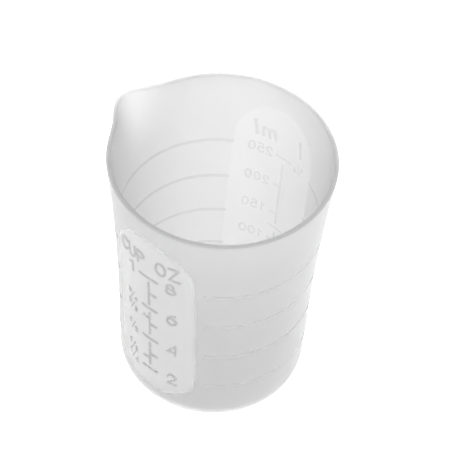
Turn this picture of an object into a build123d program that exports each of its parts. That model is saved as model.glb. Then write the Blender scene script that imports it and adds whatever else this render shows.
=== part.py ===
"""Soft silicone measuring beaker, 250 ml, 1 cup or 8 oz to its top line. Millimetres.

The base stands on z = 0 with the beaker's axis on +Z. The pouring lip points along -X. Seen from -Y
the ounce and cup panel faces the viewer, and the millilitre and litre panel is on the +Y side.
The beaker is one moulding. Each node is a feature of that moulding, as a closed solid that stands
face to face on the one under it: body, then panel or level line, then the marks on the panel.
"""
import os
from math import asin, atan, atan2, cos, degrees, exp, radians, sin, sqrt

from build123d import *

# ---- cup body ------------------------------------------------------------------------------------
height = 107.0             # base to rim
base_radius = 33.2         # outside, where the wall line would meet the floor plane
rim_flare = 6.2            # how much wider the outside is at the rim than at the base
flare_start = 37.0         # below this height the wall is a plain taper, above it an arc that flares
taper_slope = 0.03         # outward run of the plain taper for each millimetre of height
wall = 1.8                 # wall thickness
floor_thickness = 2.2      # floor thickness
heel_radius = 8.5          # round between wall and underside
rim_round = 0.4            # round on the outer edge of the rim

# ---- pouring lip ---------------------------------------------------------------------------------
lip_azimuth = 180.0        # direction of the lip about the axis, degrees
lip_reach = 5.8            # how far the tip stands out from the round rim
lip_spread = 13.0          # degrees from the tip at which the reach has dropped to 1/e
lip_depth = 23.0           # height over which the lip grows out of the wall
lip_growth = 1.7           # power of that growth: 1 is a straight cone, more is trumpet-shaped
lip_sink = 0.15            # the lip's form starts this far under the wall surface, so it blends in
lip_half_angle = 42.0      # degrees each side of the tip that the lip's form covers
lip_sections = 7           # level sections that the lip's form is lofted through
lip_turns = 12             # steps each side of the tip along a section

# ---- panels --------------------------------------------------------------------------------------
panel_angle = 88.0         # degrees from the lip to the middle of each panel
panel_width = 33.0         # width across, measured straight
panel_bottom = 12.3        # height of the panel's lower edge
panel_top_margin = 9.0     # from the top of the panel's dome up to the rim
panel_corner = 12.0        # radius of its lower corners
panel_raise = 0.6          # how far it stands out from the wall
skin_margin = 2.0          # how far the skin that a panel is cut from reaches past it

# ---- level lines ---------------------------------------------------------------------------------
lowest_level_rise = 10.7   # from the panel's lower edge up to the 2 oz level, which is 62.5 ml
top_level_drop = 21.0      # from the top of the panel down to the 8 oz level, with the headings between
level_line_width = 0.9
level_line_raise = 0.25
ounce_line_gap = 2.6       # from the edge of the ounce panel to the end of a level line
millilitre_line_gap = 0.3  # the same at the millilitre panel

# ---- marks on the panels -------------------------------------------------------------------------
# Places and lengths across a panel are in columns, so that they keep their share of its width.
panel_columns = 33         # columns across a panel
mark_raise = 0.5           # how far marks stand out from their panel
line_pen = 0.9             # width of scale lines and ticks
tick_columns = 7.2         # length of a long tick, across the scale line
top_tick_columns = 8.6     # length of the long tick at 8 oz
short_tick_reach = 3.3     # short tick, from the middle of the scale line to its end
scale_gap = 2.3            # from the middle of a long tick to the end of the scale line beside it
millilitre_line_column = -2.9   # the millilitre scale line stands left of its panel's middle

heading_drop = 11.7        # from the top of the panel down to the middle of the headings
heading_height = 7.6
heading_pen = 0.9
ounce_heading_width = 4.6  # one letter of OZ
ounce_heading_pitch = 5.1
ounce_heading_column = 8.1
cup_heading_width = 3.8    # one letter of CUP
cup_heading_pitch = 4.2
cup_heading_column = -7.1
metric_pen = 1.1           # strokes of the sloping m and l
metric_slant = 0.22        # sideways lean of the m and l for each millimetre of height
metric_l_width = 1.9
metric_l_height = 7.4
metric_m_width = 6.0
metric_m_height = 5.2
metric_m_column = 4.1
metric_l_gap = 1.1         # between the m and the l
litre_heading_column = -9.7

numeral_width = 4.0        # ounce and cup numerals
numeral_height = 6.2
numeral_pen = 0.8
ounce_numeral_column = 9.0
cup_numeral_column = -7.7
digit_width = 2.9          # millilitre numerals
digit_height = 4.7
digit_pen = 0.75
digit_pitch = 3.3
millilitre_numeral_column = 6.6

fraction_clearance = 1.0   # left free between the fractions for two thirds and three quarters
fraction_digit_width = 0.34     # these are shares of a fraction's whole height
fraction_digit_height = 0.52
fraction_pen = 0.1
fraction_step = 0.31       # sideways from the middle of the fraction to the middle of either digit
slash_lean = 0.16          # half the width of the fraction's slash
slash_rise = 0.42          # half its height
cup_fraction_column = -8.4
litre_fraction_column = -10.2

# ---- worked out from the sizes above -------------------------------------------------------------
rim_radius = base_radius + rim_flare
taper_angle = atan(taper_slope)
rise_of_flare = height - flare_start
run_of_flare = rim_flare - taper_slope * flare_start
flare_radius = (run_of_flare**2 + rise_of_flare**2) / (
    2 * (run_of_flare * cos(taper_angle) - rise_of_flare * sin(taper_angle))
)
flare_centre_x = base_radius + taper_slope * flare_start + flare_radius * cos(taper_angle)
flare_centre_z = flare_start - flare_radius * sin(taper_angle)
ounce_azimuth = lip_azimuth + panel_angle
millilitre_azimuth = lip_azimuth - panel_angle
panel_top = height - panel_top_margin
heading_z = panel_top - heading_drop
lowest_level = panel_bottom + lowest_level_rise
level_pitch = (panel_top - top_level_drop - lowest_level) / 3   # 2, 4, 6 and 8 oz
ml_per_level = 62.5
ounces_per_cup = 8
fraction_height = level_pitch / 3 - fraction_clearance   # 2/3 and 3/4 cup are a third of a pitch apart
column = panel_width / panel_columns
mark_length = 2 * rim_radius   # long enough for a mark's prism to pass through the wall


def wall_radius(z, out=0.0):
    """Radius at height z of the surface that lies `out` outside the cup's outer wall."""
    if z <= flare_start - out * sin(taper_angle):
        return base_radius + taper_slope * z + out / cos(taper_angle)
    return flare_centre_x - sqrt((flare_radius - out) ** 2 - (z - flare_centre_z) ** 2)


def wall_side(out, low, high):
    """Edges up the wall's side at that offset: the straight taper, then the flaring arc."""
    joint = flare_start - out * sin(taper_angle)
    edges = []
    if low < joint:
        top = min(joint, high)
        edges.append(Line((wall_radius(low, out), low), (wall_radius(top, out), top)))
    if high > joint:
        start = max(joint, low)
        middle = (start + high) / 2
        points = [(wall_radius(z, out), z) for z in (start, middle, high)]
        edges.append(ThreePointArc(*points))
    return edges


def band_face(inner, outer, low, high):
    """Section of a skin between two offsets of the wall, cut level at both ends."""
    edges = wall_side(inner, low, high) + wall_side(outer, low, high)
    for z in (low, high):
        edges.append(Line((wall_radius(z, inner), z), (wall_radius(z, outer), z)))
    return make_face(edges)


def turned(face, start=0.0, sweep=360.0):
    """Solid made by turning a section about the cup's axis, from one azimuth through a sweep."""
    solid = revolve(Plane.XZ * face, Axis.Z, sweep)
    return Rot(0, 0, start) * solid


# ---- cup body ------------------------------------------------------------------------------------
def cup_form(out, bottom, top, corner):
    """The whole round form inside one offset of the wall, with its lower corner rounded."""
    edges = wall_side(out, bottom, top)
    edges.append(Line((0, bottom), (wall_radius(bottom, out), bottom)))
    edges.append(Line((0, bottom), (0, top)))
    edges.append(Line((0, top), (wall_radius(top, out), top)))
    section = make_face(edges)
    heel = section.vertices().sort_by(Axis.Y)[:2].sort_by(Axis.X)[-1]
    return turned(fillet(heel, corner))


def lip_form(out, top):
    """The lip's bulge as a loft of level sections, each closed by a chord inside the cup."""
    sections = []
    for step in range(lip_sections):
        z = height - lip_depth + (top - height + lip_depth) * step / (lip_sections - 1)
        growth = ((z - height + lip_depth) / lip_depth) ** lip_growth
        points = []
        for turn in range(-lip_turns, lip_turns + 1):
            angle = lip_half_angle * turn / lip_turns
            reach = (lip_reach + lip_sink) * growth * exp(-((angle / lip_spread) ** 2))
            radius = wall_radius(z, out) - lip_sink + reach
            azimuth = radians(lip_azimuth + angle)
            points.append((radius * cos(azimuth), radius * sin(azimuth), z))
        outline = [Spline(*points), Line(points[-1], points[0])]
        sections.append(make_face(outline))
    return loft(sections)


def cup_body():
    """Floor, heel, wall, rim and pouring lip as one shell of even thickness."""
    outside = cup_form(0, 0, height, heel_radius) + lip_form(0, height)
    outside = fillet(outside.faces().sort_by(Axis.Z)[-1].edges(), rim_round)
    above = height + wall
    inside = cup_form(-wall, floor_thickness, above, heel_radius - wall) + lip_form(-wall, above)
    return outside - inside


# ---- pen strokes ---------------------------------------------------------------------------------
# Each mark is drawn in a box one unit wide and one unit high, by the middle line of its strokes.
strokes = {
    "0": [("oval", (0.5, 0.5), (0.5, 0.5))],
    "1": [("line", (0.12, 0.76), (0.6, 1), (0.6, 0))],
    "2": [("curve", (0.02, 0.72), (0.46, 1), (0.92, 0.72), (0.55, 0.34), (0, 0)), ("line", (0, 0), (1, 0))],
    "3": [("curve", (0.04, 0.86), (0.48, 1), (0.9, 0.78), (0.4, 0.54)),
          ("curve", (0.4, 0.54), (1, 0.28), (0.5, 0), (0, 0.14))],
    "4": [("line", (0.9, 0), (0.9, 1), (0, 0.27), (0.9, 0.27))],
    "5": [("line", (0.92, 1), (0.16, 1), (0.08, 0.54)),
          ("curve", (0.08, 0.54), (0.5, 0.63), (1, 0.32), (0.5, 0), (0, 0.12))],
    "6": [("curve", (0.88, 0.97), (0.36, 0.82), (0, 0.3)), ("oval", (0.5, 0.3), (0.5, 0.3))],
    "8": [("oval", (0.5, 0.77), (0.4, 0.23)), ("oval", (0.5, 0.27), (0.5, 0.27))],
    "O": [("oval", (0.5, 0.5), (0.5, 0.5))],
    "Z": [("line", (0.04, 1), (0.96, 1), (0, 0), (1, 0))],
    "C": [("curve", (0.97, 0.8), (0.52, 1), (0, 0.5), (0.52, 0), (0.97, 0.2))],
    "U": [("line", (0, 1), (0, 0.3)), ("curve", (0, 0.3), (0.5, 0), (1, 0.3)), ("line", (1, 0.3), (1, 1))],
    "P": [("line", (0, 0), (0, 1), (0.5, 1)), ("curve", (0.5, 1), (1, 0.74), (0.5, 0.48)),
          ("line", (0.5, 0.48), (0, 0.48))],
    "m": [("line", (0, 1), (0, 0)), ("curve", (0, 0.62), (0.3, 1), (0.5, 0.62)), ("line", (0.5, 0.62), (0.5, 0)),
          ("curve", (0.5, 0.62), (0.8, 1), (1, 0.62)), ("line", (1, 0.62), (1, 0))],
    "l": [("line", (0, 1), (0.55, 1), (0.55, 0), (1, 0.06))],
}


def pen_line(start, end, pen):
    """One straight stroke with round ends."""
    run = Vector(*end) - Vector(*start)
    middle = (Vector(*start) + Vector(*end)) / 2
    turn = degrees(atan2(run.Y, run.X))
    return Pos(middle.X, middle.Y) * Rot(0, 0, turn) * SlotCenterToCenter(run.length, pen)


def pen_curve(points, pen):
    """One smooth stroke with round ends."""
    stroke = trace(Spline(*points), line_width=pen)
    for x, y in (points[0], points[-1]):
        stroke += Pos(x, y) * Circle(pen / 2)
    return stroke


def glyph(name, x, y, width, tall, pen, slant=0.0):
    """A letter or numeral whose inked box is that wide and high, centred on x, y."""
    run, rise = width - pen, tall - pen
    ink = Sketch()
    for kind, *points in strokes[name]:
        if kind == "oval":
            (u, v), (half_u, half_v) = points
            spot = Pos(x + (u - 0.5) * run, y + (v - 0.5) * rise)
            outer = Ellipse(half_u * run + pen / 2, half_v * rise + pen / 2)
            inner = Ellipse(half_u * run - pen / 2, half_v * rise - pen / 2)
            ink += spot * (outer - inner)
            continue
        places = [(x + (u - 0.5) * run + slant * (v - 0.5) * rise, y + (v - 0.5) * rise) for u, v in points]
        if kind == "curve":
            ink += pen_curve(places, pen)
        else:
            for start, end in zip(places, places[1:]):
                ink += pen_line(start, end, pen)
    return ink


def word(text, x, y, width, tall, pen, pitch):
    """Letters or digits in a row, centred on x, y."""
    ink = Sketch()
    for place, name in enumerate(text):
        ink += glyph(name, x + (place - (len(text) - 1) / 2) * pitch, y, width, tall, pen)
    return ink


def fraction(above, below, x, y):
    """A small slanted fraction centred on x, y."""
    pen = fraction_pen * fraction_height
    width = fraction_digit_width * fraction_height
    tall = fraction_digit_height * fraction_height
    step_x = fraction_step * fraction_height
    step_y = (fraction_height - tall) / 2
    lean = slash_lean * fraction_height
    rise = slash_rise * fraction_height
    ink = glyph(above, x - step_x, y + step_y, width, tall, pen)
    ink += glyph(below, x + step_x, y - step_y, width, tall, pen)
    ink += pen_line((x - lean, y - rise), (x + lean, y + rise), pen)
    return ink


# ---- heights of the marks ------------------------------------------------------------------------
def ounce_height(ounces):
    """Height of an ounce mark: 2 oz is the lowest level and every 2 oz more is one pitch up."""
    return lowest_level + (ounces / 2 - 1) * level_pitch


def millilitre_height(millilitres):
    """Height of a millilitre mark on the same scale, where 62.5 ml is 2 oz."""
    return ounce_height(2 * millilitres / ml_per_level)


# ---- panels, lines and marks ---------------------------------------------------------------------
def panel_outline():
    """Outline of a panel on its flat face plane: domed top, straight sides, rounded lower corners."""
    half = panel_width / 2
    dome = panel_top - half
    corner = panel_corner
    lean = corner * (1 - sin(radians(45)))
    return make_face([
        Line((half, panel_bottom + corner), (half, dome)),
        ThreePointArc((half, dome), (0, panel_top), (-half, dome)),
        Line((-half, dome), (-half, panel_bottom + corner)),
        ThreePointArc((-half, panel_bottom + corner), (-half + lean, panel_bottom + lean),
                      (-half + corner, panel_bottom)),
        Line((-half + corner, panel_bottom), (half - corner, panel_bottom)),
        ThreePointArc((half - corner, panel_bottom), (half - lean, panel_bottom + lean),
                      (half, panel_bottom + corner)),
    ])


def raised(ink, skin, azimuth):
    """The ink pushed straight through a skin on the +X side, then turned to its panel's azimuth."""
    prism = extrude(Plane.YZ * ink, mark_length)
    return Rot(0, 0, azimuth) * (prism & skin)


def skin_sector(inner, outer):
    """The stretch of skin under a panel, about the +X direction."""
    half_angle = panel_edge_angle(panel_bottom, skin_margin)
    section = band_face(inner, outer, panel_bottom - skin_margin, panel_top + skin_margin)
    return turned(section, -half_angle, 2 * half_angle)


def panel_edge_angle(z, gap):
    """Degrees from a panel's middle to a point `gap` beyond its straight edge, at height z."""
    return degrees(asin((panel_width / 2 + gap) / wall_radius(z)))


def level_line(z, start, end):
    """A raised line round the wall at height z, from one azimuth to another."""
    half = level_line_width / 2
    return turned(band_face(0, level_line_raise, z - half, z + half), start, end - start)


def tick(x, z, left, right):
    """A level tick from x - left to x + right."""
    return pen_line((x - left + line_pen / 2, z), (x + right - line_pen / 2, z), line_pen)


def scale_line(x, low, high):
    """An upright stretch of scale line between two heights."""
    return pen_line((x, low + line_pen / 2), (x, high - line_pen / 2), line_pen)


def ounce_marks():
    """Flat ink of each mark on the ounce and cup panel, by node name."""
    marks = {}
    for ounces in (8, 6, 4, 2):
        z = ounce_height(ounces)
        half = (top_tick_columns if ounces == 8 else tick_columns) * column / 2
        marks[f"ounce_long_tick_{ounces}"] = tick(0, z, half, half)
        marks[f"ounce_numeral_{ounces}"] = glyph(
            str(ounces), ounce_numeral_column * column, z, numeral_width, numeral_height, numeral_pen)
    cup_ticks = {"upper": (), "middle": (2 / 3,), "lower": (1 / 3,)}
    for name, odd_ounce in (("upper", 7), ("middle", 5), ("lower", 3)):
        ink = scale_line(0, ounce_height(odd_ounce - 1) + scale_gap, ounce_height(odd_ounce + 1) - scale_gap)
        ink += tick(0, ounce_height(odd_ounce), line_pen / 2, short_tick_reach)
        for cups in cup_ticks[name]:
            ink += tick(0, ounce_height(ounces_per_cup * cups), short_tick_reach, line_pen / 2)
        marks[f"ounce_scale_line_{name}"] = ink
    marks["ounce_heading"] = word("OZ", ounce_heading_column * column, heading_z, ounce_heading_width,
                                  heading_height, heading_pen, ounce_heading_pitch)
    marks["cup_heading"] = word("CUP", cup_heading_column * column, heading_z, cup_heading_width,
                                heading_height, heading_pen, cup_heading_pitch)
    marks["cup_numeral_1"] = glyph("1", cup_numeral_column * column, ounce_height(ounces_per_cup),
                                   numeral_width, numeral_height, numeral_pen)
    for name, above, below in (("three_quarters", "3", "4"), ("two_thirds", "2", "3"), ("half", "1", "2"),
                               ("third", "1", "3"), ("quarter", "1", "4")):
        z = ounce_height(ounces_per_cup * int(above) / int(below))
        marks[f"cup_fraction_{name}"] = fraction(above, below, cup_fraction_column * column, z)
    return marks


def millilitre_marks():
    """Flat ink of each mark on the millilitre and litre panel, by node name."""
    x = millilitre_line_column * column
    half = tick_columns * column / 2
    marks = {}
    for amount, name, below in ((250, "quarter", "4"), (125, "eighth", "8")):
        z = millilitre_height(amount)
        marks[f"millilitre_long_tick_{amount}"] = tick(x, z, half, half)
        marks[f"litre_fraction_{name}"] = fraction("1", below, litre_fraction_column * column, z)
    for amount in (250, 200, 150, 100, 50):
        marks[f"millilitre_numeral_{amount}"] = word(
            str(amount), millilitre_numeral_column * column, millilitre_height(amount), digit_width,
            digit_height, digit_pen, digit_pitch)
    upper = scale_line(x, millilitre_height(125) + scale_gap, millilitre_height(250) - scale_gap)
    lower = scale_line(x, millilitre_height(50) - line_pen / 2, millilitre_height(125) - scale_gap)
    for amount in (200, 150):
        upper += tick(x, millilitre_height(amount), line_pen / 2, short_tick_reach)
    for amount in (100, 50):
        lower += tick(x, millilitre_height(amount), line_pen / 2, short_tick_reach)
    marks["millilitre_scale_line_upper"] = upper
    marks["millilitre_scale_line_lower"] = lower
    m_x = metric_m_column * column
    m_z = heading_z - (metric_l_height - metric_m_height) / 2
    letter_m = glyph("m", m_x, m_z, metric_m_width, metric_m_height, metric_pen, metric_slant)
    l_x = m_x + (metric_m_width + metric_l_width) / 2 + metric_l_gap
    letter_l = glyph("l", l_x, heading_z, metric_l_width, metric_l_height, metric_pen, metric_slant)
    marks["millilitre_heading"] = letter_m + letter_l
    marks["litre_heading"] = glyph("l", litre_heading_column * column, heading_z, metric_l_width,
                                   metric_l_height, metric_pen, metric_slant)
    return marks


def level_lines():
    """Level lines at 8, 6, 4 and 2 oz: one past the lip and one round the far side at each level."""
    lines = {}
    for ounces in (8, 6, 4, 2):
        z = ounce_height(ounces)
        ounce_edge = panel_edge_angle(z, ounce_line_gap)
        millilitre_edge = panel_edge_angle(z, millilitre_line_gap)
        lines[f"level_line_{ounces}_lip_side"] = level_line(
            z, millilitre_azimuth + millilitre_edge, ounce_azimuth - ounce_edge)
        lines[f"level_line_{ounces}_far_side"] = level_line(
            z, ounce_azimuth + ounce_edge, millilitre_azimuth + 360 - millilitre_edge)
    return lines


def build():
    """Every node of the beaker, by name."""
    nodes = {"cup_body": cup_body()}
    panel_skin = skin_sector(0, panel_raise)
    mark_skin = skin_sector(panel_raise, panel_raise + mark_raise)
    nodes["ounce_panel"] = raised(panel_outline(), panel_skin, ounce_azimuth)
    nodes["millilitre_panel"] = raised(panel_outline(), panel_skin, millilitre_azimuth)
    nodes.update(level_lines())
    for marks, azimuth in ((ounce_marks(), ounce_azimuth), (millilitre_marks(), millilitre_azimuth)):
        for name, ink in marks.items():
            nodes[name] = raised(ink, mark_skin, azimuth)
    return nodes


os.makedirs("parts", exist_ok=True)
for node_name, shape in build().items():
    export_step(shape, f"parts/{node_name}.step")
    print(node_name, len(shape.solids()), round(shape.volume, 2))
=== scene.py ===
# %% [markdown]
# # Soft silicone measuring beaker
# The beaker is one soft moulding: a cup with a pouring lip, level lines round its wall, and two
# polished panels that carry raised scales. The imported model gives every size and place. This
# notebook makes finer surfaces for the cup, the panels and the level lines, keeps the raised marks'
# own shapes, and gives each of them a translucent silicone finish.
#
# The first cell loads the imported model. It stays where it is, and everything else is built round it,
# in metres, with the base standing on z = 0 and the beaker's axis on Z.

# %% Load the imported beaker
from math import cos, radians, sin

import bmesh
import bpy
import numpy as np
from mathutils import Matrix, Vector


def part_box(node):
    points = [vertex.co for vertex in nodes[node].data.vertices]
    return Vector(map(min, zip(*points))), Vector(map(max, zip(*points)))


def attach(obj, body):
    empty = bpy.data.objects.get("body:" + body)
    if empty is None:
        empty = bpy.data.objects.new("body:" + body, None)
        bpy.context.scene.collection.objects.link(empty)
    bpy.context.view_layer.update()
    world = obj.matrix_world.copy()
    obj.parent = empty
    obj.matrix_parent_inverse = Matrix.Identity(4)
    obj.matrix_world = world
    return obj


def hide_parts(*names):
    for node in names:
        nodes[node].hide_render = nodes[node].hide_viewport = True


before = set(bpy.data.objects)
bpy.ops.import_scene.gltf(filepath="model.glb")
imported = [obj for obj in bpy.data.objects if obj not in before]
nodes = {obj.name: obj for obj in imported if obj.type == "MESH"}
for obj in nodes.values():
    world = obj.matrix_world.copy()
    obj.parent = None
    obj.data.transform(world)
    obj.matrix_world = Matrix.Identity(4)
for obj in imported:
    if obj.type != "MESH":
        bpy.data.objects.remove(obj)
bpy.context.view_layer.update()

# %% [markdown]
# ## The wall as a formula
# A turned form is easiest to read as one function: the radius at a height. The wall is a plain taper
# up to `flare_start`, and an arc above it that flares out to the rim. The arc leaves the taper
# tangentially, so no crease shows where they join. Heights and the rim's radius are read from the
# packed cup, and the rest are the cup's own few driving sizes.

# %% Sizes of the cup
low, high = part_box("cup_body")
height = high.z
rim_radius = high.x              # the far side of the rim has no lip
lip_reach = -low.x - rim_radius  # how far the lip's tip stands out from the round rim
base_radius = 0.0332             # where the wall's line would meet the floor plane
flare_start = 0.037
taper_slope = 0.03
wall = 0.0018
floor_thickness = 0.0022
heel_radius = 0.0085
skin_gap = 0.00004               # hair gap between pieces that lie on each other
film_thickness = skin_gap / 2    # of the films that show on the inside what lies on the outside
print("height", round(height, 4), "rim radius", round(rim_radius, 4), "lip reach", round(lip_reach, 4))

# %% Radius of the wall at a height
taper = np.arctan(taper_slope)
flare_rise = height - flare_start
flare_run = rim_radius - base_radius - taper_slope * flare_start
flare_lean = flare_run * np.cos(taper) - flare_rise * np.sin(taper)
flare_radius = (flare_run**2 + flare_rise**2) / (2 * flare_lean)
flare_centre_r = base_radius + taper_slope * flare_start + flare_radius * np.cos(taper)
flare_centre_z = flare_start - flare_radius * np.sin(taper)


def wall_radius(z, out=0.0):
    """Radius at height z of the surface `out` outside the wall: a straight taper, then the arc
    centre - sqrt((arc radius - out)^2 - (z - centre height)^2)."""
    z = np.asarray(z, float)
    straight = base_radius + taper_slope * z + out / np.cos(taper)
    reach = (flare_radius - out) ** 2 - (z - flare_centre_z) ** 2
    flared = flare_centre_r - np.sqrt(np.maximum(reach, 0))
    return np.where(z <= flare_start - out * np.sin(taper), straight, flared)


print("radius at the rim", round(float(wall_radius(height)), 5))

# %% [markdown]
# ## The cup
# The cup is a closed shell. A hollow form could be made with Solidify, but then the heel, the floor
# and the rim would all have one thickness. Here one profile runs from the middle of the underside,
# round the heel, up the outside, over the rounded rim, down the inside and back to the middle of the
# floor. It is turned about the axis on a grid of profile points and azimuths. The pouring lip is a
# bell curve in azimuth that grows with height, added to the radius of the same grid, so that the lip
# blends out of the wall with no seam.

# %% A mesh from a turned grid
lip_azimuth = np.pi
lip_spread = radians(13)
lip_depth = 0.023
lip_growth = 1.7


def lip_swell(z, azimuth):
    """Extra radius of the lip: reach x (height above its root / its depth)^growth
    x exp(-(angle / spread)^2)."""
    grown = np.clip((z - height + lip_depth) / lip_depth, 0, 1) ** lip_growth
    angle = (azimuth - lip_azimuth + np.pi) % (2 * np.pi) - np.pi
    return lip_reach * grown * np.exp(-((angle / lip_spread) ** 2))


def arc(centre_r, centre_z, radius, start, end, count):
    """Points of a round: centre + radius x (cos, sin) of angles from start to end, in degrees."""
    angle = np.radians(np.linspace(start, end, count))
    return np.column_stack([centre_r + radius * np.cos(angle), centre_z + radius * np.sin(angle)])


def vertices_of(mesh):
    """Vertex positions of a mesh as an array of rows."""
    points = np.empty(len(mesh.vertices) * 3)
    mesh.vertices.foreach_get("co", points)
    return points.reshape(-1, 3)


def new_piece(name, parts, material_slot, *replaced):
    """Puts closed surfaces, each an array of vertices and one of faces, into one smooth mesh at the
    origin that rides the beaker and stands for its CAD nodes. Faces of part n take material n."""
    mesh = bpy.data.meshes.new(name)
    points = np.vstack([vertices for vertices, faces in parts])
    starts = np.cumsum([0] + [len(vertices) for vertices, faces in parts])
    faces = [face for start, (vertices, part) in zip(starts, parts) for face in (part + start).tolist()]
    mesh.from_pydata(points, [], faces)
    part_of_face = np.repeat(np.arange(len(parts)), [len(part) for vertices, part in parts])
    mesh.polygons.foreach_set("material_index", part_of_face.astype(np.int32))
    merge_doubles(mesh)
    mesh.shade_smooth()
    return place(name, mesh, material_slot, *replaced)


def merge_doubles(mesh):
    """Joins vertices that lie on each other, so that poles and seams are closed."""
    joined = bmesh.new()
    joined.from_mesh(mesh)
    bmesh.ops.remove_doubles(joined, verts=joined.verts, dist=1e-7)
    joined.to_mesh(mesh)
    joined.free()


def place(name, mesh, material_slot, *replaced):
    """Links a mesh as a piece that rides the beaker and the CAD nodes it
    stands for."""
    piece = bpy.data.objects.new(name, mesh)
    bpy.context.scene.collection.objects.link(piece)
    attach(piece, "root")
    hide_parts(*replaced)
    return piece


def enclosed_volume(piece):
    """Volume inside a closed mesh: a sixth of the sum of a . (b x c) over its triangles. It is
    positive when the faces point out."""
    piece.data.calc_loop_triangles()
    corners = np.empty(len(piece.data.loop_triangles) * 3, np.int32)
    piece.data.loop_triangles.foreach_get("vertices", corners)
    a, b, c = vertices_of(piece.data)[corners.reshape(-1, 3)].transpose(1, 0, 2)
    return float(np.einsum("ij,ij->i", a, np.cross(b, c)).sum() / 6)


def grid_faces(rows, columns):
    """Quads of a grid whose columns close on themselves: vertex = row x columns + column."""
    row, column = np.meshgrid(np.arange(rows - 1), np.arange(columns), indexing="ij")
    a = row * columns + column
    b = row * columns + (column + 1) % columns
    return np.stack([a, b, b + columns, a + columns], axis=-1).reshape(-1, 4)


# %% Profile of the cup
rim_round = 0.0004               # outer edge of the rim
inner_round = 0.0006             # inner edge of the rim
flat_points, heel_points, rim_points = 9, 16, 6
inner_rim_points, inner_heel_points = 7, 14
outer_rows, inner_rows = 90, 80
heel_centre_z = heel_radius
heel_centre_r = float(wall_radius(heel_centre_z, -skin_gap - heel_radius))
inner_heel = heel_radius - wall
inner_centre_z = floor_thickness + inner_heel
inner_centre_r = float(wall_radius(inner_centre_z, -wall - inner_heel))
taper_degrees = np.degrees(taper)
wall_low = heel_centre_z - heel_radius * np.sin(taper)
outer_z = np.linspace(wall_low, height - rim_round, outer_rows)[1:]
inner_low = inner_centre_z - inner_heel * np.sin(taper)
inner_z = np.linspace(height - inner_round, inner_low, inner_rows)[1:-1]
outer_rim_r = float(wall_radius(height - rim_round, -skin_gap))
inner_rim_r = float(wall_radius(height - inner_round, -wall))
profile = np.vstack([
    np.column_stack([np.linspace(0, heel_centre_r, flat_points)[:-1], np.zeros(flat_points - 1)]),
    arc(heel_centre_r, heel_centre_z, heel_radius, -90, -taper_degrees, heel_points),
    np.column_stack([wall_radius(outer_z, -skin_gap), outer_z]),
    arc(outer_rim_r - rim_round, height - rim_round, rim_round, 0, 90, rim_points)[1:],
    arc(inner_rim_r + inner_round, height - inner_round, inner_round, 90, 180, inner_rim_points),
    np.column_stack([wall_radius(inner_z, -wall), inner_z]),
    arc(inner_centre_r, inner_centre_z, inner_heel, -taper_degrees, -90, inner_heel_points),
    np.column_stack([
        np.linspace(inner_centre_r, 0, flat_points)[1:], np.full(flat_points - 1, floor_thickness)]),
])
print("profile points", len(profile))

# %% Turn the profile into the cup
columns = 360
azimuth = np.arange(columns) * 2 * np.pi / columns
radius = profile[:, :1] + lip_swell(profile[:, 1:], azimuth[None, :])
z = np.broadcast_to(profile[:, 1:], radius.shape)
grid = np.stack([radius * np.cos(azimuth), radius * np.sin(azimuth), z], axis=-1)
shell = grid.reshape(-1, 3), grid_faces(len(profile), columns)
cup = new_piece("cup_moulding", [shell], "frosted_silicone", "cup_body")
print("cup faces", len(cup.data.polygons), "silicone in it, ml", round(enclosed_volume(cup) * 1e6, 2))

# %% [markdown]
# ## The panels
# Each panel is a thin plate that lies on the wall: domed at the top, straight at the sides and
# rounded at its lower corners. Its outline is one closed curve. Rings between that outline and an
# upright spine in the middle fill it, and the outermost rings roll down to the wall, so that the
# plate has a soft border like a moulded one. The flat shape is then laid on the cup: a point `x` to
# the side goes to the azimuth whose sine is x / radius.

# %% Outline of a panel
panel_width = 0.033
panel_corner = 0.012
panel_raise = 0.0006
panel_border = 0.0009
side_points, dome_points, corner_points, foot_points = 50, 50, 16, 8
level_rings, rolled_rings = 14, 8
low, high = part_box("ounce_panel")
panel_low, panel_top = low.z, high.z
print("panel from", round(panel_low, 4), "to", round(panel_top, 4))


def panel_outline():
    """Outline points: the dome's half circle, then down each side, with quarter rounds at the bottom."""
    half = panel_width / 2
    side = np.linspace(panel_top - half, panel_low + panel_corner, side_points)
    left = np.column_stack([np.full(side_points, -half), side])[1:-1]
    foot = np.linspace(panel_corner - half, half - panel_corner, foot_points)
    bottom = np.column_stack([foot, np.full(foot_points, panel_low)])[1:-1]
    return np.vstack([
        arc(0, panel_top - half, half, 0, 180, dome_points),
        left,
        arc(panel_corner - half, panel_low + panel_corner, panel_corner, 180, 270, corner_points),
        bottom,
        arc(half - panel_corner, panel_low + panel_corner, panel_corner, 270, 360, corner_points),
        (left * (-1, 1))[::-1],
    ])


# %% Lay a plate on the wall
def on_wall(x, z, out, azimuth):
    """Point of a flat drawing laid on the cup: azimuth + asin(x / radius), at that radius and height."""
    r = wall_radius(z, out)
    angle = azimuth + np.arcsin(x / r)
    return np.stack([r * np.cos(angle), r * np.sin(angle), z], axis=-1)


def slab(x, z, outer, inner, azimuth):
    """Closed slab between two offsets of the wall, over the rings of a flat drawing: its outer
    face's rings from the middle out, then its inner face's back to the middle."""
    rings = np.concatenate([on_wall(x, z, outer, azimuth), on_wall(x[::-1], z[::-1], inner, azimuth)])
    return rings.reshape(-1, 3), grid_faces(len(rings), x.shape[1])[:, ::-1]


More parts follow.
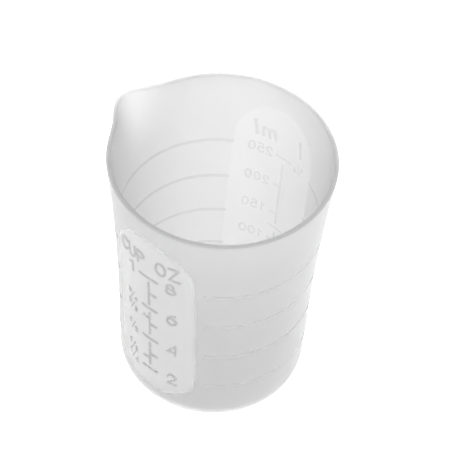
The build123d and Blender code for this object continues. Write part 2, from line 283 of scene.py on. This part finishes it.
def panel_plate(name, azimuth, node):
    """Rings at a share of the way from the upright spine to the outline. Their height above the
    wall is raise x sqrt(1 - (1 - d / border)^2) at a distance d from the outline, up to the border's
    width, and level further in. The film lies on the inside of the wall and carries a painted glow: the
    light that comes through the wall behind the panel."""
    outline = panel_outline()
    half = panel_width / 2
    spine_z = np.clip(outline[:, 1], panel_low + half, panel_top - half)
    spine = np.column_stack([np.zeros(len(outline)), spine_z])
    span = np.linalg.norm(outline - spine, axis=1)
    rolled = panel_border * np.cos(np.linspace(0, np.pi / 2, rolled_rings))
    level = np.linspace(0, 1, level_rings)[:-1, None] * (span - panel_border)[None, :]
    reach = np.vstack([level, span[None, :] - rolled[:, None]])
    x = reach / span * outline[:, 0]
    z = spine[:, 1] + reach / span * (outline[:, 1] - spine[:, 1])
    depth = np.clip((span - reach) / panel_border, 0, 1)
    out = (panel_raise - skin_gap) * np.sqrt(1 - (1 - depth) ** 2)
    plate = slab(x, z, out, np.zeros_like(out), azimuth)
    # This inside film carries the panel's painted glow of the light through the wall.
    film_outer = np.full_like(out, -wall - skin_gap)
    film = slab(x, z, film_outer, film_outer - film_thickness, azimuth)
    return new_piece(name, [plate, film], "polished_silicone", node)


def middle_azimuth(node):
    """Azimuth of the middle of a node's box, seen from the axis."""
    low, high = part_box(node)
    return float(np.arctan2(low.y + high.y, low.x + high.x))


ounce_azimuth = middle_azimuth("ounce_panel")
ounce_plate = panel_plate("ounce_panel_plate", ounce_azimuth, "ounce_panel")
millilitre_azimuth = middle_azimuth("millilitre_panel")
millilitre_plate = panel_plate("millilitre_panel_plate", millilitre_azimuth, "millilitre_panel")
print("panel azimuths", round(np.degrees(ounce_azimuth), 1), round(np.degrees(millilitre_azimuth), 1))

# %% [markdown]
# ## The level lines
# A level line is a bead that runs round the wall at one height and stops beside each panel. A curve
# with a bevel could make it, but a curve would have to be wrapped onto the flaring wall. A grid does
# it directly: one parameter goes along the arc of azimuths, the other round the bead's section, which
# is half an ellipse standing on the wall. The section shrinks to a point at both ends, so the bead is
# closed and its ends are round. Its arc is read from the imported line.

# %% Beads round the wall
line_raise = 0.00025
line_round_end = 0.0006
line_points, line_end_points = 120, 7
line_section_points, line_base_points = 13, 5
# The painted-shade film of a line is widened by line_spread.
line_spread = 1.6                # a line seen through the wall looks this much wider


def level_bead(node):
    """Point at share s of the arc and angle a round the section: height z + half width x cos a,
    raise x sin a off the wall, and on the wall where sin a is negative. Both are scaled by
    sqrt(1 - (1 - e)^2), where e goes from 0 at the tip to 1 where the end's round stops."""
    points = vertices_of(nodes[node].data)
    middle = points.mean(axis=0)
    facing = np.arctan2(middle[1], middle[0])
    turned = (np.arctan2(points[:, 1], points[:, 0]) - facing + np.pi) % (2 * np.pi) - np.pi
    line_z = (points[:, 2].min() + points[:, 2].max()) / 2
    half = (points[:, 2].max() - points[:, 2].min()) / 2
    end = line_round_end / rim_radius
    rounded = end * (1 - np.cos(np.linspace(0, np.pi / 2, line_end_points)))
    start, stop = turned.min(), turned.max()
    straight = np.linspace(start + end, stop - end, line_points)[1:-1]
    along = np.concatenate([start + rounded, straight, stop - rounded[::-1]])
    near_end = np.clip(np.minimum(along - start, stop - along) / end, 0, 1)
    size = np.sqrt(1 - (1 - near_end) ** 2)[:, None]
    base = np.linspace(1.1, 1.9, line_base_points) * np.pi
    around = np.concatenate([np.linspace(0, np.pi, line_section_points), base])
    bead = line_raise * np.maximum(np.sin(around), 0) * size
    # This film is painted shade: the bead as it shows through the wall.
    film = -wall - skin_gap - film_thickness * (np.sin(around) < 0) * np.ones_like(size)
    parts = []
    for out, spread in ((bead, 1), (film, line_spread)):
        z = line_z + spread * half * np.cos(around) * size
        r = wall_radius(z, out)
        angle = facing + along[:, None]
        points = np.stack([r * np.cos(angle), r * np.sin(angle), z], axis=-1).reshape(-1, 3)
        parts.append((points, grid_faces(len(along), len(around))))
    return new_piece(f"{node}_bead", parts, "frosted_silicone", node)


level_beads = [level_bead(node) for node in sorted(nodes) if node.startswith("level_line")]
print("level beads", len(level_beads))

# %% [markdown]
# ## The raised marks
# The numerals, letters, fractions, ticks and scale lines are imported solids whose shapes are right, so
# a merged copy of each is kept. On the real cup they are also seen from the inside, mirrored, because
# the wall lets light through. Real see-through scattering would need a very long render. A hair-thin
# film of the same drawing, laid on the inside of the wall, gives the same look and costs nothing: it is
# painted shade, faintly dark where a mark holds back the light. The level lines have such a painted-shade
# film too, and the panels have a film with a painted glow of the light through the wall.

# %% Marks and how they show through the wall
mark_raise = 0.0005
sharp_edge = radians(35)


def mark_relief(node, azimuth):
    """A merged copy of a packed mark, and below it a film of the same drawing on the inside of the
    cup, which carries painted shade: the mark as it shows through the wall. The film's points go straight
    in along the panel's direction, as far as sqrt(radius^2 - sideways distance^2)."""
    copy = nodes[node].data.copy()
    merge_doubles(copy)
    points = vertices_of(copy)
    faces = np.array([face.vertices[:] for face in copy.polygons])
    bpy.data.meshes.remove(copy)
    outward = np.array([np.cos(azimuth), np.sin(azimuth)])
    sideways = np.array([-outward[1], outward[0]])
    along, across = points[:, :2] @ outward, points[:, :2] @ sideways
    z = points[:, 2]
    under = np.hypot(along, across) - wall_radius(z) < panel_raise + mark_raise / 2
    behind = wall_radius(z, -wall - 2 * skin_gap - film_thickness * under)
    inward = np.sqrt(behind**2 - across**2)
    film = np.column_stack([inward[:, None] * outward + across[:, None] * sideways, z])
    piece = new_piece(f"{node}_relief", [(points, faces), (film, faces)], "raised_marks", node)
    piece.data.set_sharp_from_angle(angle=sharp_edge)
    return piece


mark_nodes = [name for name in sorted(nodes) if not nodes[name].hide_render]
on_ounce_panel = [name for name in mark_nodes if name.startswith(("ounce", "cup"))]
faces_to = {name: ounce_azimuth if name in on_ounce_panel else millilitre_azimuth for name in mark_nodes}
marks = [mark_relief(name, faces_to[name]) for name in mark_nodes]
print("marks", len(marks))

# %% [markdown]
# ## Translucent silicone
# Silicone of this kind is clear rubber clouded by its filler. Light goes into it, is scattered and
# comes out again elsewhere, so a thin wall lit from behind glows. Rough transmission could show this,
# but it is noisy through four surfaces. Subsurface scattering that reaches further than the wall is
# thick carries the light through evenly. Panels, lines and marks are partly clear, so that the wall
# under them is seen as well, and they cast no shade on it. The mould's fine blasted texture and faint
# flow clouds are one node group, used by all the finishes at different strengths.

# %% Node group: clouds and moulded grain
clouds_per_metre = 55
middle_of_noise = 0.5
colour_a, colour_b, mixed_colour = 6, 7, 2  # the colour sockets of a Mix node, which share their names


def node(tree, kind, location, **settings):
    """Adds a node and sets its plain properties."""
    made = tree.nodes.new(kind)
    made.location = location
    for key, value in settings.items():
        setattr(made, key, value)
    return made


def silicone_skin_group():
    """Group that gives a clouded colour, a clouded roughness and a grain height."""
    group = bpy.data.node_groups.new("silicone_skin", "ShaderNodeTree")
    sockets = group.interface
    for name in ("Clear", "Cloudy"):
        sockets.new_socket(name, in_out="INPUT", socket_type="NodeSocketColor")
    for name in ("Roughness", "Roughness Spread", "Grain Scale"):
        sockets.new_socket(name, in_out="INPUT", socket_type="NodeSocketFloat")
    sockets.new_socket("Color", in_out="OUTPUT", socket_type="NodeSocketColor")
    for name in ("Roughness", "Height"):
        sockets.new_socket(name, in_out="OUTPUT", socket_type="NodeSocketFloat")
    link = group.links.new
    given = node(group, "NodeGroupInput", (-900, 0))
    result = node(group, "NodeGroupOutput", (500, 0))
    where = node(group, "ShaderNodeTexCoord", (-900, -300))
    cloud = node(group, "ShaderNodeTexNoise", (-600, 100))
    cloud.inputs["Scale"].default_value = clouds_per_metre
    cloud.inputs["Detail"].default_value = 4
    link(where.outputs["Object"], cloud.inputs["Vector"])
    colour = node(group, "ShaderNodeMix", (-200, 200), data_type="RGBA")
    link(cloud.outputs["Fac"], colour.inputs["Factor"])
    link(given.outputs["Clear"], colour.inputs[colour_a])
    link(given.outputs["Cloudy"], colour.inputs[colour_b])
    link(colour.outputs[mixed_colour], result.inputs["Color"])
    grain = node(group, "ShaderNodeTexNoise", (-600, -300))
    grain.inputs["Detail"].default_value = 3
    link(where.outputs["Object"], grain.inputs["Vector"])
    link(given.outputs["Grain Scale"], grain.inputs["Scale"])
    link(grain.outputs["Fac"], result.inputs["Height"])
    centred = node(group, "ShaderNodeMath", (-400, -100), operation="SUBTRACT")
    centred.inputs[1].default_value = middle_of_noise
    link(cloud.outputs["Fac"], centred.inputs[0])
    rough = node(group, "ShaderNodeMath", (-100, -100), operation="MULTIPLY_ADD")
    link(centred.outputs[0], rough.inputs[0])
    link(given.outputs["Roughness Spread"], rough.inputs[1])
    link(given.outputs["Roughness"], rough.inputs[2])
    link(rough.outputs[0], result.inputs["Roughness"])
    return group


silicone_skin = silicone_skin_group()
print("group sockets", [item.name for item in silicone_skin.interface.items_tree])

# %% Silicone finishes
moulded_grain = 4500             # grains in a metre, of the blasted mould
polished_grain = 1500            # the same, of its polished faces


def silicone(name, clear, cloudy, roughness, spread, grain_scale, grain_depth, light_reach=0.0, opacity=1.0,
             glow=0.0, gloss=0.5):
    """Principled silicone whose light scatters on through `light_reach` metres, over the shared skin
    group. `clear` and `cloudy` are its lightest and darkest grey."""
    material = bpy.data.materials.new(name)
    material.use_nodes = True
    tree = material.node_tree
    shader = tree.nodes["Principled BSDF"]
    skin = node(tree, "ShaderNodeGroup", (-600, 0), node_tree=silicone_skin)
    skin.inputs["Clear"].default_value = (clear, clear, clear, 1)
    skin.inputs["Cloudy"].default_value = (cloudy, cloudy, cloudy, 1)
    skin.inputs["Roughness"].default_value = roughness
    skin.inputs["Roughness Spread"].default_value = spread
    skin.inputs["Grain Scale"].default_value = grain_scale
    bump = node(tree, "ShaderNodeBump", (-300, -200))
    bump.inputs["Strength"].default_value = 0.5
    bump.inputs["Distance"].default_value = grain_depth
    tree.links.new(skin.outputs["Color"], shader.inputs["Base Color"])
    tree.links.new(skin.outputs["Roughness"], shader.inputs["Roughness"])
    tree.links.new(skin.outputs["Height"], bump.inputs["Height"])
    tree.links.new(bump.outputs["Normal"], shader.inputs["Normal"])
    shader.inputs["IOR"].default_value = 1.41
    shader.inputs["Specular IOR Level"].default_value = gloss
    shader.inputs["Alpha"].default_value = opacity
    # Emission gives a painted glow; only the panel film has one.
    shader.inputs["Emission Color"].default_value = (1, 1, 1, 1)
    shader.inputs["Emission Strength"].default_value = glow
    shader.inputs["Subsurface Weight"].default_value = 1 if light_reach else 0
    shader.inputs["Subsurface Radius"].default_value = (1, 1, 1)
    shader.inputs["Subsurface Scale"].default_value = light_reach
    return material


def show_through(name, tone, roughness, opacity, glow=0.0):
    """Finish of a painted-light film: nearly clear; a dark tone paints shade, and `glow` paints the glow of
    the light that comes through the wall behind it.
    """
    return silicone(name, tone, tone, roughness, spread=0, grain_scale=polished_grain, grain_depth=0.00001,
                    opacity=opacity, glow=glow)


frosted = silicone("frosted_silicone", clear=0.98, cloudy=0.965, roughness=0.5, spread=0.1,
                   grain_scale=moulded_grain, grain_depth=0.00003, light_reach=0.013)
# The beads' grey is painted shade: a level line looks darker where the silicone is thicker.
bead_silicone_painted_shade = silicone("level_bead_painted_shade", clear=0.78, cloudy=0.76, roughness=0.5, spread=0.1,
                       grain_scale=moulded_grain, grain_depth=0.00002, opacity=0.2, gloss=0.1)
polished = silicone("polished_silicone", clear=0.92, cloudy=0.90, roughness=0.25, spread=0.06,
                    grain_scale=polished_grain, grain_depth=0.00001, light_reach=0.003, opacity=0.2)
# The marks' dark grey is painted shade: the thicker silicone of a mark lets less light through.
relief = silicone("raised_mark_painted_shade_silicone", clear=0.42, cloudy=0.40, roughness=0.5, spread=0.06,
                  grain_scale=polished_grain, grain_depth=0.00001, opacity=0.28, gloss=0.1)
# Painted shade: the line films on the inside darken the wall where the beads show through.
line_film_painted_shade = show_through("level_line_painted_shade_film", tone=0.5, roughness=0.3, opacity=0.06)
# Painted glow: the panel film on the inside glows as if lit through the wall.
panel_film_painted_glow = show_through("panel_painted_glow_film", tone=0.98, roughness=0.25, opacity=0.06, glow=0.9)
# Painted shade: the mark films on the inside darken the wall where marks show through.
mark_film_painted_shade = show_through("mark_painted_shade_film", tone=0.5, roughness=0.3, opacity=0.06)
print("materials", [material.name for material in bpy.data.materials])


# %% Give the pieces their finishes
def finish_with(pieces, *materials):
    """Gives pieces these materials, one for each part of their mesh."""
    for piece in pieces:
        for material in materials:
            piece.data.materials.append(material)


def let_light_pass(pieces):
    """Keeps thin pieces from shading the cup's wall under them, as clear rubber would."""
    for piece in pieces:
        piece.visible_shadow = False
        piece.visible_diffuse = False
        piece.visible_glossy = False
        piece.visible_transmission = False


finish_with([cup], frosted)
finish_with(level_beads, bead_silicone_painted_shade, line_film_painted_shade)
finish_with([ounce_plate, millilitre_plate], polished, panel_film_painted_glow)
finish_with(marks, relief, mark_film_painted_shade)
let_light_pass([ounce_plate, millilitre_plate] + level_beads + marks)
print("finished pieces", 1 + len([ounce_plate, millilitre_plate] + level_beads + marks))

# %% [markdown]
# ## The studio
# A translucent white object is lit high-key: a pale floor and pale surroundings, so that its edges
# stay lighter than its middle, with more light from behind than from the front. The front wall is
# then greyer than the inside, and the depth of the cup reads. A lamp behind the cup would show in it
# as a bright patch. The floor itself is a soft light here: it glows most behind the beaker, a little
# in front of it, and evenly elsewhere.

# %% Floor
floor_reach = 3.0
floor_drop = 0.0002              # keeps the floor clear of the beaker's underside
floor_corners = np.array([(-1, -1, 0), (1, -1, 0), (1, 1, 0), (-1, 1, 0)]) * floor_reach
floor_mesh = bpy.data.meshes.new("studio_floor")
floor_mesh.from_pydata(floor_corners, [], [(0, 1, 2, 3)])
floor = bpy.data.objects.new("studio_floor", floor_mesh)
bpy.context.scene.collection.objects.link(floor)
floor.location.z = -floor_drop

# %% Paint and glow of the floor
floor_paint = bpy.data.materials.new("floor_paint")
floor_paint.use_nodes = True
paint = floor_paint.node_tree.nodes["Principled BSDF"]
paint.inputs["Base Color"].default_value = (0.3, 0.3, 0.3, 1)
paint.inputs["Roughness"].default_value = 0.9
paint.inputs["Specular IOR Level"].default_value = 0
paint.inputs["Emission Color"].default_value = (1, 1, 1, 1)
glow = floor_paint.node_tree
spot = node(glow, "ShaderNodeTexCoord", (-900, 0))


def light_pool(x, y, near, far, brightest, row):
    """Strength of the glow round (x, y): `brightest` within `near` metres, falling to `floor_glow` at
    `far` metres."""
    distance = node(glow, "ShaderNodeVectorMath", (-700, row), operation="DISTANCE")
    distance.inputs[1].default_value = (x, y, 0)
    glow.links.new(spot.outputs["Object"], distance.inputs[0])
    pool = node(glow, "ShaderNodeMapRange", (-500, row), interpolation_type="SMOOTHSTEP")
    pool.inputs["From Min"].default_value = near
    pool.inputs["From Max"].default_value = far
    pool.inputs["To Min"].default_value = brightest
    pool.inputs["To Max"].default_value = floor_glow
    glow.links.new(distance.outputs["Value"], pool.inputs["Value"])
    return pool.outputs["Result"]


floor_glow = 1.03
behind = light_pool(x=-0.15, y=0.32, near=0.1, far=0.5, brightest=2.8, row=0)
in_front = light_pool(x=0.13, y=-0.18, near=0.05, far=0.25, brightest=1.8, row=-300)
stronger = node(glow, "ShaderNodeMath", (-300, 0), operation="MAXIMUM")
glow.links.new(behind, stronger.inputs[0])
glow.links.new(in_front, stronger.inputs[1])
glow.links.new(stronger.outputs[0], paint.inputs["Emission Strength"])
floor.data.materials.append(floor_paint)
print("floor", 2 * floor_reach, "m wide, glow", floor_glow)

# %% [markdown]
# ## The surround
# The beaker is also lit from all round. An image of a studio could do that, but a direction is
# enough: the surround is brightest low on the far side of the beaker and falls off smoothly from
# there. What the camera sees past the floor is an even white. One soft lamp on the lip's side
# lights the inside of the wall opposite.

# %% Surround
sky = bpy.data.worlds.new("studio_surround")
sky.use_nodes = True
tree = sky.node_tree
background = tree.nodes["Background"]
direction = node(tree, "ShaderNodeTexCoord", (-900, 0))
towards = node(tree, "ShaderNodeVectorMath", (-700, 0), operation="DOT_PRODUCT")
bright_turn, bright_rise = radians(125), radians(-35)
level = cos(bright_rise)
towards.inputs[1].default_value = (cos(bright_turn) * level, sin(bright_turn) * level, sin(bright_rise))
tree.links.new(direction.outputs["Generated"], towards.inputs[0])
fall = node(tree, "ShaderNodeMapRange", (-500, 0), interpolation_type="SMOOTHSTEP")
fall.inputs["From Min"].default_value = 0.25
fall.inputs["From Max"].default_value = 0.9
fall.inputs["To Min"].default_value = 0.25
fall.inputs["To Max"].default_value = 1.75
tree.links.new(towards.outputs["Value"], fall.inputs["Value"])
seen = node(tree, "ShaderNodeLightPath", (-500, 300))
chosen = node(tree, "ShaderNodeMix", (-250, 100), data_type="FLOAT")
tree.links.new(seen.outputs["Is Camera Ray"], chosen.inputs["Factor"])
tree.links.new(fall.outputs["Result"], chosen.inputs["A"])
chosen.inputs["B"].default_value = 1.0
background.inputs["Color"].default_value = (1, 1, 1, 1)
tree.links.new(chosen.outputs[0], background.inputs["Strength"])
bpy.context.scene.world = sky
bpy.context.scene.view_settings.view_transform = "Standard"
print("brightest direction", [round(value, 2) for value in towards.inputs[1].default_value])

# %% Soft lamp
lamp = bpy.data.lights.new("side_softbox", "AREA")
lamp.size = 0.5
lamp.energy = 0.7
softbox = bpy.data.objects.new("side_softbox", lamp)
bpy.context.scene.collection.objects.link(softbox)
softbox.location = (-0.4, -0.1, 0.7)
away = softbox.location - Vector((0, 0, height / 2))
softbox.rotation_euler = away.to_track_quat("Z", "Y").to_euler()
print("lamp at", round(away.length, 2), "m from the middle of the beaker")

# %% [markdown]
# ## The camera
# A long lens from well above looks at the middle of the beaker from the side of the ounce panel. It is
# turned slightly about its own line of sight, and shifted so that the beaker stands a little low in
# the frame.

# %% Camera
camera_turn = radians(35.4)      # about Z, from looking along +Y
camera_rise = 0.894              # radians above the floor
camera_roll = 0.062              # radians about the line of sight
camera_distance = 0.881
look_at = Vector((0, 0, 0.0528))
right = Vector((cos(camera_turn), sin(camera_turn), 0))
back = Vector((sin(camera_turn) * cos(camera_rise), -cos(camera_turn) * cos(camera_rise), sin(camera_rise)))
up = back.cross(right)
rolled_right = right * cos(camera_roll) + up * sin(camera_roll)
rolled_up = up * cos(camera_roll) - right * sin(camera_roll)
lens = bpy.data.cameras.new("studio_camera")
lens.lens = 200
lens.sensor_width = 36
lens.shift_x = 0.0188
lens.shift_y = 0.0746
camera = bpy.data.objects.new("studio_camera", lens)
bpy.context.scene.collection.objects.link(camera)
turned = Matrix((rolled_right, rolled_up, back)).transposed().to_4x4()
camera.matrix_world = Matrix.Translation(look_at + back * camera_distance) @ turned
bpy.context.scene.camera = camera
print("camera at", [round(value, 3) for value in camera.matrix_world.translation])
